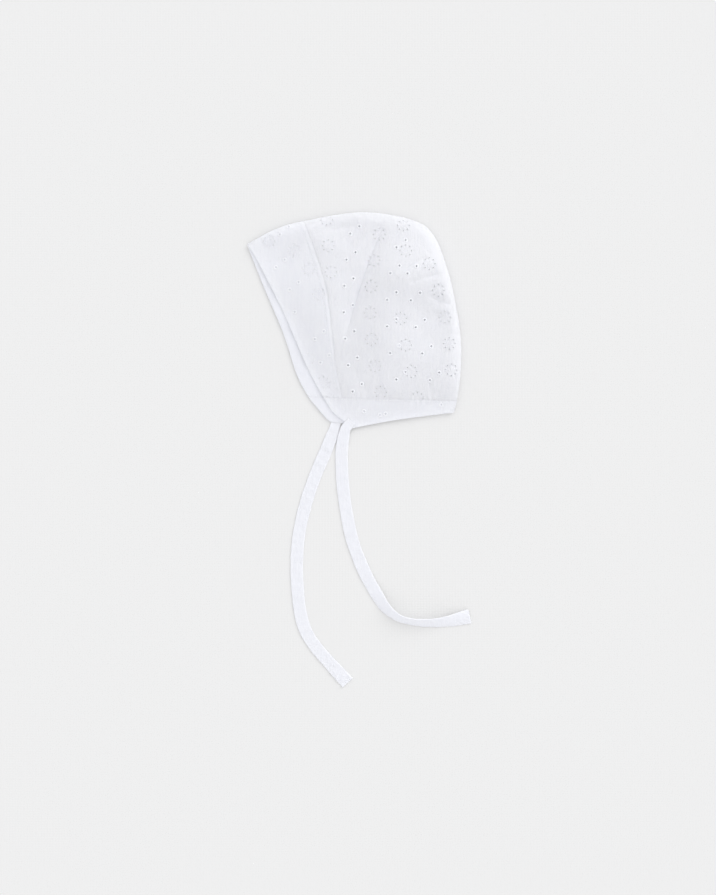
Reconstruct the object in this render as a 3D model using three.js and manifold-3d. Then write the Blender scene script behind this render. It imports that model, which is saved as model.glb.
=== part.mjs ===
// Baby bonnet of white eyelet cotton, lying on its side with both chin ties spread out.
// Millimetres, +Z up from the table. +X runs from the face opening to the back of the head,
// +Y from the neck to the top of the head, and the origin is on the table under the bonnet.

import * as THREE from "three";
import { mergeVertices } from "three/addons/utils/BufferGeometryUtils.js";
import Module from "manifold-3d";

// Driving dimensions
const DEPTH = 154; // face edge at the top of the head to the back of the head
const HEIGHT = 155; // neck edge to the top of the head
const PUFF = 24; // highest point of the upper side above the table
const MOUTH_HEIGHT = 7; // upper side above the table where nothing puffs it up
const SEAM_HEIGHT = 4; // centre seam above the table
const ROLL = 8; // width over which the cloth turns over at the centre seam
const CLOTH = 1.1; // wall of the crown sides
const DOUBLED_CLOTH = 1.2; // wall of the front band and the neck band
const SEAM_GAP = 0.3; // clearance between sewn pieces
const EYELET = 1.7; // a pierced eyelet across
const EYELET_PITCH = 18.8; // one row of eyelets to the next
const EYELET_PAIR = [6.5, 5.3]; // from one eyelet of a pair to the other
const TIE_WIDTH = 9;
const TIE_THICKNESS = 1.2;

// How finely the curves are cut into facets
const ROLL_STEPS = 4;
const EDGE_STEPS = 30; // round the centre seam of a crown side
const SEAM_STEPS = 15; // down the seam of the front band
const HEM_STEPS = 9; // along the top of the neck band under a crown side
const NECK_STEPS = 12; // along the whole neck band
const BAND_COLUMNS = 5; // across the front band
const CROWN_RINGS = { upper: 11, lower: 4 };
const TIE_STEP = 9.5;
const EYELET_SIDES = 6;
const FINE_STEPS = 24; // from one point of an outline to the next

const wasm = await Module();
wasm.setup();

// Outlines seen from above, X as shares of DEPTH and Y as shares of HEIGHT

// The closed edge, from the tip of the face edge over the head and down to the nape, as the part
// that each piece has of it
const BAND_TOP_EDGE = [
  [-0.5, 0.353], // tip of the face edge
  [-0.371, 0.421],
  [-0.239, 0.459], // top of the front band's seam
];
const CROWN_EDGE = [
  [0.026, 0.5],
  [0.251, 0.47],
  [0.365, 0.4], // shoulder
  [0.438, 0.224],
  [0.484, 0.013],
  [0.5, -0.138],
  [0.494, -0.271],
  [0.479, -0.374], // top of the neck band
];
const NAPE_EDGE = [[0.466, -0.426]];
const CLOSED_EDGE = [...BAND_TOP_EDGE, ...CROWN_EDGE, ...NAPE_EDGE];
const CROWN_MIDDLE = [0.16, 0.03]; // where the facets of a crown side meet

// The front band's seam, from the top of the head down to the neck band
const BAND_SEAM = [
  [-0.239, 0.459],
  [-0.176, 0.288],
  [-0.129, 0.125],
  [-0.105, -0.061],
  [-0.082, -0.23],
  [-0.056, -0.361],
];

// Each side's own edges: its face edge down to the neck band, its neck band's end from the neck
// edge up to the face edge, and its neck edge from the tie to the nape
const SIDES = {
  upper: {
    face: [
      [-0.5, 0.353],
      [-0.449, 0.272],
      [-0.325, 0.025],
      [-0.216, -0.223],
      [-0.145, -0.355],
    ],
    tieEnd: [
      [-0.011, -0.5],
      [-0.044, -0.471],
      [-0.099, -0.425],
      [-0.145, -0.355],
    ],
    neck: [
      [-0.011, -0.5],
      [0.096, -0.479],
      [0.213, -0.459],
      [0.466, -0.426],
    ],
  },
  lower: {
    face: [
      [-0.5, 0.353],
      [-0.423, 0.159],
      [-0.329, -0.064],
      [-0.268, -0.25],
      [-0.214, -0.355],
    ],
    tieEnd: [
      [-0.058, -0.477],
      [-0.114, -0.468],
      [-0.175, -0.403],
      [-0.214, -0.355],
    ],
    neck: [
      [-0.058, -0.477],
      [0.096, -0.46],
      [0.213, -0.447],
      [0.466, -0.426],
    ],
  },
};

// Puffs and hollows of the upper side: rise as a share of PUFF, reach as shares of DEPTH and HEIGHT
const SWELLS = [
  { name: "crown", x: 0.22, y: 0.103, rise: 0.57, reachX: 0.338, reachY: 0.355 },
  { name: "seam shoulder", x: -0.13, y: 0.1, rise: 0.06, reachX: 0.08, reachY: 0.26 },
  { name: "tie corner", x: -0.08, y: -0.5, rise: -0.13, reachX: 0.17, reachY: 0.155 },
  { name: "nape", x: 0.455, y: -0.465, rise: -0.09, reachX: 0.195, reachY: 0.142 },
];

// Valleys of the upper side: ends and bend as shares of DEPTH and HEIGHT, depth as a share of PUFF,
// reach to each side as a share of DEPTH
const FOLDS = {
  crease: { from: [0.12, 0.405], bend: [0.05, 0.2], to: [-0.034, -0.06], depth: 0.08, reach: 0.04 },
  topFold: { from: [-0.221, 0.4], bend: [-0.1, 0.42], to: [0.026, 0.433], depth: 0.05, reach: 0.03 },
  cheekFold: { from: [-0.044, -0.138], bend: [0, -0.25], to: [0.082, -0.36], depth: 0.045, reach: 0.04 },
  shoulderPucker: { from: [0.325, 0.266], bend: [0.27, 0.24], to: [0.213, 0.21], depth: 0.04, reach: 0.024 },
  backPucker: { from: [0.423, 0.21], bend: [0.36, 0.215], to: [0.297, 0.21], depth: 0.04, reach: 0.022 },
  middlePucker: { from: [0.461, 0.061], bend: [0.4, 0.08], to: [0.34, 0.108], depth: 0.045, reach: 0.024 },
  napeFold: { from: [0.34, -0.26], bend: [0.35, -0.31], to: [0.368, -0.374], depth: 0.035, reach: 0.024 },
};

// Columns of eyelet pairs down a crown side: X at the top, middle and bottom row as shares of
// DEPTH, Y of the top row as a share of HEIGHT
const EYELET_COLUMNS = [
  { name: "front", top: 0.001, middle: -0.028, bottom: 0.013, firstRow: 0.412, rows: 7 },
  { name: "middle", top: 0.215, middle: 0.17, bottom: 0.215, firstRow: 0.345, rows: 6 },
  { name: "back", top: 0.265, middle: 0.305, bottom: 0.372, firstRow: 0.222, rows: 5 },
];

// Routes of the ties, chosen by hand: the middle of the tie above the table, and its roll in
// degrees, which lifts the edge on the left of the way out
const TIE_ROUTES = {
  left_tie: [
    { x: -4.6, y: -75.9, z: 3.9, roll: 0 },
    { x: -6.4, y: -78.3, z: 3.6, roll: 0 },
    { x: -8.0, y: -85.0, z: 2.4, roll: 0 },
    { x: -9.0, y: -93.0, z: 1.2, roll: 0 },
    { x: -9.2, y: -102.0, z: 0.66, roll: 0 },
    { x: -8.2, y: -120.0, z: 0.66, roll: 0 },
    { x: -5.4, y: -140.0, z: 0.66, roll: 0 },
    { x: -1.0, y: -160.0, z: 0.66, roll: 0 },
    { x: 7.2, y: -181.0, z: 0.8, roll: 2 },
    { x: 15.6, y: -196.5, z: 1.4, roll: 12 },
    { x: 23.0, y: -207.4, z: 3.1, roll: 38 },
    { x: 33.0, y: -214.6, z: 3.9, roll: 54 },
    { x: 46.5, y: -217.4, z: 3.9, roll: 54 },
    { x: 60.0, y: -217.4, z: 3.3, roll: 42 },
    { x: 72.0, y: -215.6, z: 2.1, roll: 22 },
    { x: 83.0, y: -213.0, z: 1.1, roll: 6 },
  ],
  right_tie: [
    { x: -13.4, y: -73.5, z: 0.9, roll: 0 },
    { x: -14.0, y: -76.6, z: 0.8, roll: 0 },
    { x: -16.4, y: -83.5, z: 0.66, roll: 0 },
    { x: -21.0, y: -95.0, z: 0.66, roll: 0 },
    { x: -29.2, y: -114.6, z: 0.66, roll: 0 },
    { x: -35.8, y: -135.0, z: 0.66, roll: 0 },
    { x: -40.0, y: -155.0, z: 0.66, roll: 0 },
    { x: -41.5, y: -176.0, z: 0.66, roll: 0 },
    { x: -40.7, y: -195.0, z: 0.66, roll: 0 },
    { x: -38.8, y: -211.0, z: 0.66, roll: 0 },
    { x: -34.6, y: -224.5, z: 0.66, roll: 0 },
    { x: -26.8, y: -236.4, z: 0.66, roll: 0 },
    { x: -16.6, y: -248.0, z: 0.66, roll: 0 },
    { x: -4.8, y: -261.0, z: 0.66, roll: 0 },
  ],
};
const TIE_START = 0.78; // width at the tie corner as a share of TIE_WIDTH
const TIE_END = 1.15; // width at the hemmed end as a share of TIE_WIDTH
const TIE_FLARE = 0.06; // stretch of the tie over which its width changes, as a share of its length

const COTTON = { color: 0xebecf1, roughness: 0.9, metalness: 0 };

function place([x, y]) {
  return new THREE.Vector2(x * DEPTH, y * HEIGHT);
}

// A smooth curve through a table's points, read by distance along it from its first point.
class Outline {
  constructor(table, first = 0, last = table.length - 1) {
    const curve = new THREE.SplineCurve(table.map(place));
    const spans = table.length - 1;
    this.points = [];
    for (let i = first * FINE_STEPS; i <= last * FINE_STEPS; i++) {
      this.points.push(curve.getPoint(i / (spans * FINE_STEPS)));
    }
    this.along = [0];
    for (let i = 1; i < this.points.length; i++) {
      const step = this.points[i].distanceTo(this.points[i - 1]);
      this.along.push(this.along[i - 1] + step);
    }
    this.length = this.along.at(-1);
  }

  at(distance) {
    const last = this.points.length - 1;
    let i = 1;
    while (i < last && this.along[i] < distance) i++;
    const share = (distance - this.along[i - 1]) / (this.along[i] - this.along[i - 1]);
    return this.points[i - 1].clone().lerp(this.points[i], THREE.MathUtils.clamp(share, 0, 1));
  }
}

function distanceToLine(points, spot) {
  let nearest = Infinity;
  const foot = new THREE.Vector2();
  for (let i = 1; i < points.length; i++) {
    const start = points[i - 1];
    const span = points[i].clone().sub(start);
    const share = spot.clone().sub(start).dot(span) / span.lengthSq();
    foot.copy(start).addScaledVector(span, THREE.MathUtils.clamp(share, 0, 1));
    nearest = Math.min(nearest, foot.distanceTo(spot));
  }
  return nearest;
}

const seamTopPoint = BAND_TOP_EDGE.length - 1;
const hemBackPoint = seamTopPoint + CROWN_EDGE.length;
const closedEdge = new Outline(CLOSED_EDGE);
const bandTopEdge = new Outline(CLOSED_EDGE, 0, seamTopPoint);
const crownEdge = new Outline(CLOSED_EDGE, seamTopPoint, hemBackPoint);
const napeEdge = new Outline(CLOSED_EDGE, hemBackPoint);
const bandSeam = new Outline(BAND_SEAM);
const hemFront = place(BAND_SEAM.at(-1));
const hemBack = place(CROWN_EDGE.at(-1));

const foldLines = Object.values(FOLDS).map((fold) => {
  const line = new THREE.QuadraticBezierCurve(place(fold.from), place(fold.bend), place(fold.to));
  return { points: line.getPoints(8), depth: fold.depth * PUFF, reach: fold.reach * DEPTH };
});

// Height of the upper side's outer face above the table, away from the closed edge.
function puffedHeight(spot) {
  let height = MOUTH_HEIGHT;
  for (const swell of SWELLS) {
    const across = (spot.x / DEPTH - swell.x) / swell.reachX;
    const along = (spot.y / HEIGHT - swell.y) / swell.reachY;
    height += swell.rise * PUFF * Math.exp(-across * across - along * along);
  }
  for (const fold of foldLines) {
    const away = distanceToLine(fold.points, spot) / fold.reach;
    height -= fold.depth * Math.exp(-away * away);
  }
  return height;
}

// How far the cloth has turned over, from 0 on the closed edge to 1 where it lies level.
function turned(depth, width) {
  const left = 1 - THREE.MathUtils.clamp(depth / width, 0, 1);
  return Math.sqrt(1 - left * left);
}

// One face of the cloth: side is upper or lower, inset is 0 for the outer face or the wall for the
// inner one, and edgeHeight is the height of the closed edge.
function clothHeight(spot, side, inset, edgeHeight, onEdge) {
  if (onEdge) return edgeHeight;
  const turn = turned(distanceToLine(closedEdge.points, spot) - inset, ROLL - inset);
  const level = side === "upper" ? puffedHeight(spot) - inset : inset;
  return edgeHeight + (level - edgeHeight) * turn;
}

function clothPoint(spot, side, inset, edgeHeight, onEdge = false) {
  return new THREE.Vector3(spot.x, spot.y, clothHeight(spot, side, inset, edgeHeight, onEdge));
}

// Distances from the closed edge, close together where the cloth turns over.
function rollStations(inset) {
  const stations = [];
  for (let k = 0; k <= ROLL_STEPS; k++) {
    const angle = (Math.PI / 2) * (k / ROLL_STEPS);
    stations.push(inset + (ROLL - inset) * (1 - Math.cos(angle)));
  }
  return stations;
}

function stationsTo(length, steps, inset) {
  const stations = rollStations(inset);
  for (let k = 1; k <= steps; k++) stations.push(ROLL + ((length - ROLL) * k) / steps);
  return stations;
}

// A solid from rows of outer points and rows of inner points. With poles the rows are closed rings
// that end in one outer and one inner point; without them all four edges of the rows are open.
function shellGeometry(outer, inner, poles) {
  const vertices = [...outer.flat(), ...inner.flat()];
  const width = outer[0].length;
  const innerStart = outer.length * width;
  const triangles = [];
  const quad = (a, b, c, d) => triangles.push(a, b, c, a, c, d);
  const columns = poles ? width : width - 1;
  const last = outer.length - 1;
  const at = (row, column) => row * width + (column % width);
  for (let row = 0; row < last; row++) {
    for (let column = 0; column < columns; column++) {
      const [a, b] = [at(row, column), at(row, column + 1)];
      const [d, c] = [at(row + 1, column), at(row + 1, column + 1)];
      quad(a, b, c, d);
      quad(innerStart + d, innerStart + c, innerStart + b, innerStart + a);
    }
  }
  const rim = (path) => {
    for (let i = 1; i < path.length; i++) {
      quad(path[i], path[i - 1], innerStart + path[i - 1], innerStart + path[i]);
    }
  };
  const rowPath = (row) => Array.from({ length: columns + 1 }, (_, column) => at(row, column));
  rim(rowPath(0));
  if (poles) {
    vertices.push(poles.outer, poles.inner);
    const outerPole = vertices.length - 2;
    const innerPole = vertices.length - 1;
    for (let column = 0; column < columns; column++) {
      const a = at(last, column);
      const b = at(last, column + 1);
      triangles.push(a, b, outerPole, innerStart + b, innerStart + a, innerPole);
    }
  } else {
    rim(rowPath(last).reverse());
    rim(Array.from({ length: last + 1 }, (_, row) => at(row, 0)).reverse());
    rim(Array.from({ length: last + 1 }, (_, row) => at(row, width - 1)));
  }
  return facedOut(vertices, triangles);
}

// A geometry whose triangles all face out of the solid that they close.
function facedOut(vertices, triangles) {
  let volume = 0;
  const cross = new THREE.Vector3();
  for (let i = 0; i < triangles.length; i += 3) {
    const [a, b, c] = [vertices[triangles[i]], vertices[triangles[i + 1]], vertices[triangles[i + 2]]];
    volume += a.dot(cross.crossVectors(b, c));
  }
  const order = volume < 0 ? triangles.toReversed() : triangles;
  const geometry = new THREE.BufferGeometry().setFromPoints(vertices);
  geometry.setIndex(order);
  geometry.computeVertexNormals();
  return geometry;
}

function toSolid(geometry) {
  const bare = geometry.clone();
  bare.deleteAttribute("normal");
  bare.deleteAttribute("uv");
  const merged = mergeVertices(bare);
  return new wasm.Manifold(
    new wasm.Mesh({
      numProp: 3,
      vertProperties: merged.attributes.position.array,
      triVerts: new Uint32Array(merged.index.array),
    }),
  );
}

function toGeometry(solid) {
  const mesh = solid.getMesh();
  const geometry = new THREE.BufferGeometry();
  geometry.setAttribute("position", new THREE.BufferAttribute(mesh.vertProperties, 3));
  geometry.setIndex(new THREE.BufferAttribute(mesh.triVerts, 1));
  geometry.computeVertexNormals();
  return geometry;
}

// Places of the eyelets of a crown side, seen from above.
function eyeletSpots() {
  const spots = [];
  for (const column of EYELET_COLUMNS) {
    const line = new THREE.QuadraticBezierCurve(
      new THREE.Vector2(column.top, 0),
      new THREE.Vector2(2 * column.middle - (column.top + column.bottom) / 2, 0),
      new THREE.Vector2(column.bottom, 0),
    );
    for (let row = 0; row < column.rows; row++) {
      const x = line.getPoint(row / (column.rows - 1)).x * DEPTH;
      const y = column.firstRow * HEIGHT - row * EYELET_PITCH;
      for (const end of [-0.5, 0.5]) {
        spots.push(new THREE.Vector2(x + end * EYELET_PAIR[0], y + end * EYELET_PAIR[1]));
      }
    }
  }
  return spots;
}

function pierced(geometry) {
  const reach = 2 * PUFF;
  const punches = eyeletSpots().map((spot) => {
    const punch = new THREE.CylinderGeometry(EYELET / 2, EYELET / 2, reach, EYELET_SIDES);
    punch.rotateX(Math.PI / 2);
    punch.translate(spot.x, spot.y, PUFF / 2);
    return toSolid(punch);
  });
  return toGeometry(toSolid(geometry).subtract(wasm.Manifold.union(punches)));
}

// One side of the crown, between the closed edge, the front band's seam and the neck band.
function crownSide(side) {
  const shift = SEAM_GAP / 2;
  const edgeHeight = SEAM_HEIGHT + (side === "upper" ? shift : -shift);
  const hemLength = hemFront.distanceTo(hemBack);
  const hemAt = (distance) => {
    const spot = hemBack.clone().lerp(hemFront, distance / hemLength);
    return spot.add(new THREE.Vector2(0, shift));
  };
  const seamAt = (distance) => bandSeam.at(distance).add(new THREE.Vector2(shift, 0));

  // The boundary, counterclockwise: down the seam, along the neck band and back round the edge
  const boundary = [];
  const seamOuter = stationsTo(bandSeam.length, SEAM_STEPS, 0);
  const seamInner = stationsTo(bandSeam.length, SEAM_STEPS, CLOTH);
  for (let k = 0; k < seamOuter.length - 1; k++) {
    boundary.push({ outer: seamAt(seamOuter[k]), inner: seamAt(seamInner[k]), onEdge: k === 0 });
  }
  const hemOuter = stationsTo(hemLength, HEM_STEPS, 0);
  const hemInner = stationsTo(hemLength, HEM_STEPS, CLOTH);
  const corner = hemFront.clone().addScalar(shift);
  boundary.push({ outer: corner, inner: corner.clone(), onEdge: false });
  for (let k = hemOuter.length - 2; k >= 0; k--) {
    boundary.push({ outer: hemAt(hemOuter[k]), inner: hemAt(hemInner[k]), onEdge: k === 0 });
  }
  const step = crownEdge.length / EDGE_STEPS;
  for (let k = EDGE_STEPS - 1; k > 0; k--) {
    const outer = crownEdge.at(step * k);
    const ahead = crownEdge.at(step * k - ROLL / 9).sub(crownEdge.at(step * k + ROLL / 9)).normalize();
    const inward = new THREE.Vector2(-ahead.y, ahead.x);
    const inner = outer.clone().addScaledVector(inward, CLOTH);
    boundary.push({ outer, inner, inward, onEdge: true });
  }

  const pole = place(CROWN_MIDDLE);
  const rings = { outer: [], inner: [] };
  for (const face of ["outer", "inner"]) {
    const inset = face === "outer" ? 0 : CLOTH;
    const depths = rollStations(inset).map((depth) => depth - inset);
    const levelRing = [];
    depths.forEach((depth, k) => {
      const ring = boundary.map((station, i) => {
        const ray = pole.clone().sub(station[face]).normalize();
        const slant = station.inward ? station.inward.dot(ray) : 1;
        const spot = station[face].clone().addScaledVector(ray, depth / slant);
        levelRing[i] = spot;
        return clothPoint(spot, side, inset, edgeHeight, station.onEdge && k === 0);
      });
      rings[face].push(ring);
    });
    for (let k = 1; k < CROWN_RINGS[side]; k++) {
      const share = k / CROWN_RINGS[side];
      rings[face].push(
        levelRing.map((spot) => clothPoint(spot.clone().lerp(pole, share), side, inset, edgeHeight)),
      );
    }
  }
  const poles = {
    outer: clothPoint(pole, side, 0, edgeHeight),
    inner: clothPoint(pole, side, CLOTH, edgeHeight),
  };
  return pierced(shellGeometry(rings.outer, rings.inner, poles));
}

// A doubled band that folds over the closed edge from the upper side to the lower side. spotAt
// gives the place of a column at a station of one side.
function foldedBand(stations, columns, spotAt) {
  const faces = { outer: [], inner: [] };
  for (const face of ["outer", "inner"]) {
    const inset = face === "outer" ? 0 : DOUBLED_CLOTH;
    const row = (side, k) =>
      Array.from({ length: columns }, (_, column) =>
        clothPoint(spotAt(side, column, k, inset), side, inset, SEAM_HEIGHT, k === 0),
      );
    for (let k = stations - 1; k >= 0; k--) faces[face].push(row("upper", k));
    for (let k = 1; k < stations; k++) faces[face].push(row("lower", k));
  }
  return shellGeometry(faces.outer, faces.inner);
}

function frontBand() {
  const faces = { upper: new Outline(SIDES.upper.face), lower: new Outline(SIDES.lower.face) };
  const tip = place(CLOSED_EDGE[0]);
  const seamTop = place(BAND_TOP_EDGE.at(-1));
  const spotAt = (side, column, k, inset) => {
    const across = column / BAND_COLUMNS;
    const face = faces[side];
    const faceSpot = face.at(stationsTo(face.length, SEAM_STEPS, inset)[k]);
    const seamDistance = stationsTo(bandSeam.length, SEAM_STEPS, inset)[k];
    const seamSpot = bandSeam.at(seamDistance);
    seamSpot.x -= SEAM_GAP / 2;
    const up = 1 - seamDistance / bandSeam.length;
    const chord = tip.clone().lerp(seamTop, across);
    const bulge = bandTopEdge.at(across * bandTopEdge.length).sub(chord);
    const spot = faceSpot.lerp(seamSpot, across).addScaledVector(bulge, up);
    spot.y += (SEAM_GAP / 2) * (1 - up);
    return spot;
  };
  return foldedBand(ROLL_STEPS + SEAM_STEPS + 1, BAND_COLUMNS + 1, spotAt);
}

function neckBand() {
  const necks = { upper: new Outline(SIDES.upper.neck), lower: new Outline(SIDES.lower.neck) };
  const columns = SIDES.upper.tieEnd.length;
  const spotAt = (side, column, k, inset) => {
    const { tieEnd } = SIDES[side];
    const up = column / (columns - 1);
    const neck = necks[side];
    const distance = stationsTo(neck.length, NECK_STEPS, inset)[k];
    const back = 1 - distance / neck.length;
    const neckSpot = neck.at(neck.length - distance);
    const hemStart = place(tieEnd.at(-1));
    const backLength = hemFront.distanceTo(hemBack);
    const hemLength = backLength + hemStart.distanceTo(hemFront);
    const fromBack = distance * (hemLength / neck.length);
    const hemSpot =
      fromBack < backLength
        ? hemBack.clone().lerp(hemFront, fromBack / backLength)
        : hemFront.clone().lerp(hemStart, (fromBack - backLength) / (hemLength - backLength));
    const neckChord = place(tieEnd[0]).lerp(place(CLOSED_EDGE.at(-1)), back);
    const hemChord = hemStart.clone().lerp(hemBack, back);
    const endSpot = place(tieEnd[column]);
    const napeSpot = napeEdge.at((1 - up) * napeEdge.length);
    const spot = endSpot.lerp(napeSpot, back);
    spot.addScaledVector(neckSpot.sub(neckChord), 1 - up);
    spot.addScaledVector(hemSpot.sub(hemChord), up);
    spot.y -= (SEAM_GAP / 2) * up;
    return spot;
  };
  return foldedBand(ROLL_STEPS + NECK_STEPS + 1, columns, spotAt);
}

// A flat tie along its route, its width changing near both ends.
function tie(route) {
  const middle = new THREE.CatmullRomCurve3(route.map((p) => new THREE.Vector3(p.x, p.y, p.z)));
  const rolls = new THREE.SplineCurve(route.map((p) => new THREE.Vector2(p.roll, 0)));
  const steps = Math.round(middle.getLength() / TIE_STEP);
  const thin = TIE_THICKNESS / 2;
  const up = new THREE.Vector3(0, 0, 1);
  const vertices = [];
  const triangles = [];
  const sides = 8;
  for (let k = 0; k <= steps; k++) {
    const share = k / steps;
    const centre = middle.getPointAt(share);
    const ahead = middle.getTangentAt(share);
    const roll = THREE.MathUtils.degToRad(rolls.getPoint(middle.getUtoTmapping(share)).x);
    const across = new THREE.Vector3().crossVectors(up, ahead).normalize();
    across.applyAxisAngle(ahead, -roll);
    const over = new THREE.Vector3().crossVectors(ahead, across);
    const start = TIE_START + (1 - TIE_START) * Math.min(1, share / TIE_FLARE);
    const end = 1 + (TIE_END - 1) * Math.max(0, 1 - (1 - share) / TIE_FLARE);
    const half = (TIE_WIDTH / 2) * start * end;
    const section = [
      [half, -thin / 2],
      [half, thin / 2],
      [half - thin, thin],
      [thin - half, thin],
      [-half, thin / 2],
      [-half, -thin / 2],
      [thin - half, -thin],
      [half - thin, -thin],
    ];
    for (const [side, rise] of section) {
      vertices.push(centre.clone().addScaledVector(across, side).addScaledVector(over, rise));
    }
  }
  for (let k = 0; k < steps; k++) {
    for (let i = 0; i < sides; i++) {
      const a = k * sides + i;
      const b = k * sides + ((i + 1) % sides);
      triangles.push(a, b, b + sides, a, b + sides, a + sides);
    }
  }
  const lastRing = steps * sides;
  for (let i = 1; i < sides - 1; i++) {
    triangles.push(0, i + 1, i, lastRing, lastRing + i, lastRing + i + 1);
  }
  return facedOut(vertices, triangles);
}

function piece(name, geometry) {
  const mesh = new THREE.Mesh(geometry, new THREE.MeshStandardMaterial(COTTON));
  mesh.name = name;
  return mesh;
}

const bonnet = new THREE.Group();
bonnet.add(piece("left_side", crownSide("upper")));
bonnet.add(piece("right_side", crownSide("lower")));
bonnet.add(piece("front_band", frontBand()));
bonnet.add(piece("neck_band", neckBand()));
bonnet.add(piece("left_tie", tie(TIE_ROUTES.left_tie)));
bonnet.add(piece("right_tie", tie(TIE_ROUTES.right_tie)));

export default bonnet;
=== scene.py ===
"""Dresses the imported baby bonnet: eyelet cotton, embroidery, seams, ties, floor and light.

The bonnet lies on its side. +X runs from the face opening to the back of the head and +Y from the
neck to the top of the head. Lengths are millimetres until a mesh, a cord or the camera is made.
"""

import math

import bmesh
import bpy
import numpy as np
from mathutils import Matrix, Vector
from mathutils.geometry import delaunay_2d_cdt


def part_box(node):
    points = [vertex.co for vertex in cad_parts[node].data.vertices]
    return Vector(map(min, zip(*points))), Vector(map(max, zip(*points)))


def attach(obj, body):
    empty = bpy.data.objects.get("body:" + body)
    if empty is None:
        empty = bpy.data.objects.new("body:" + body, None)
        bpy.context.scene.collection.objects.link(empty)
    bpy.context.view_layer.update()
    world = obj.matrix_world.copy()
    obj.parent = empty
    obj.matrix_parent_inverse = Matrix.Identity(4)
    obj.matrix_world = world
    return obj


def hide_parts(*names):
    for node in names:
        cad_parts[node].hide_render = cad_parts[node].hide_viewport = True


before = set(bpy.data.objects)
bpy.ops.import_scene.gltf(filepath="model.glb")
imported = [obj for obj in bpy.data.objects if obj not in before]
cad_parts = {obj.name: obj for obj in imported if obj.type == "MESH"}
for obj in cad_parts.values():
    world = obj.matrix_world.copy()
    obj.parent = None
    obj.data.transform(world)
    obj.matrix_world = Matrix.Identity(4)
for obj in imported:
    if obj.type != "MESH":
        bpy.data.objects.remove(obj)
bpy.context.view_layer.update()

MM = 0.001


def node_box(node):
    low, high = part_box(node)
    return np.array(low) / MM, np.array(high) / MM


# Sizes that the frame gives
DEPTH = -2 * node_box("front_band")[0][0]
HEIGHT = -2 * node_box("neck_band")[0][1]
SEAM_HEIGHT = (node_box("left_side")[0][2] + node_box("right_side")[1][2]) / 2

# Sizes that repeat the part's own
PUFF = 24
MOUTH_HEIGHT = 7
ROLL = 8
EYELET_PITCH = 18.8
EYELET_PAIR = (6.5, 5.3)
TIE_WIDTH = 9
FINE_STEPS = 24

# Sizes of the real cloth and its sewing
LAWN = 0.5  # one layer of the crown with its embroidery
DOUBLED = 1.0  # the bands
RIBBON = 0.85  # the ties
TABLE_GAP = 0.25  # the lower side rests on its embroidery
TABLE_REST = 0.03  # the ties rest this far above the table
EDGE_HEIGHT = SEAM_HEIGHT / 2  # the thin cloth is pressed flatter at its closed edge
FREE_EDGE = 2.6  # height that the upper side settles to at its free edges
SETTLED = 13  # how far in from a free edge the cloth has settled
ROLL_CLOTH = ROLL * math.pi / 2  # cloth that turns over next to the closed edge
SPREAD = ROLL_CLOTH - ROLL  # how far the unrolled pattern reaches past the closed edge
THINNEST = DOUBLED / 4  # a band where both sides meet
BAND_SHARE = 0.45  # of the room between the sides, for the band of one side
FOLD_BOTTOM = 0.2  # how round a fold's bottom is, as a share of its walls
FOLD_TAPER = 0.8  # how bluntly a fold ends
ALLOWANCE = 3.1  # seam allowance pressed under the front band
ALLOWANCE_RISE = 0.12
ALLOWANCE_EDGE = 0.3
ALLOWANCE_DIP = 0.5
SEAM_SINK = 0.19
SEAM_DIP = 0.7
EDGE_DIP = 0.9
HEM_SINK = 0.05
SEAM_FADES = -25  # below this height of the bonnet the front band's seam lies flatter
SEAM_FADE = 5
SEAM_LEAST = 0.25  # of its sharpness is left at the neck
LOWER_SEAM = 0.4  # the lower side's seam is pressed flat by the table
EDGE_FADE = 4  # seams and pits fade out this near to the closed edge
NECK_STITCHES = 1.3  # from the neck band's seam to its stitches
SEWN = 0.02  # spots nearer to a sewn border than this are on it

# Eyelets and their stitching
REAL_EYELET = 1.2  # the stitched hole, narrower than the part's facets
CLUSTER = 8.2  # ring of small eyelets across
CLUSTER_EYELET = 0.95
CLUSTER_COUNT = 8
PETAL_ROOM = 0.4  # of CLUSTER, from a cluster's middle to the border
PIT_DEPTH = 0.45  # eyelets of the doubled bands aren't cut through
PIT_WALL = 0.22  # as a share of the eyelet
CROWN_STITCH = 0.3  # how far the stitching stands above the cloth
BAND_STITCH = 0.22
# Lap over the hole's edge, width, height as a share of the stitching's, and stitches
SINGLE_RING = (0.05, 1.2, 1, 26)
SMALL_RING = (0.03, 0.42, 0.7, 13)
RING_DIP = 0.72  # height between two stitches
RING_PROFILE = ((0.0, -0.08), (0.12, 0.6), (0.5, 1.0), (0.88, 0.6), (1.0, -0.08))
PETAL_REACH = (1.1, 2.6)
PETAL_WIDTH = 0.6
PETAL_RISE = 0.3
PETAL_DIP = 0.7
PETAL_STEPS = 7
PETAL_TIP = 0.12
PETAL_PROFILE = ((-1, -0.06), (-0.55, 0.75), (0, 1), (0.55, 0.75), (1, -0.06))
STITCH_RISE = 0.6
STITCH_SWELL = (0.3, 0.85, 1, 1, 0.85, 0.3)
STITCH_PROFILE = ((-1, -0.1), (-0.6, 0.7), (0, 1), (0.6, 0.7), (1, -0.1))

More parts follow.
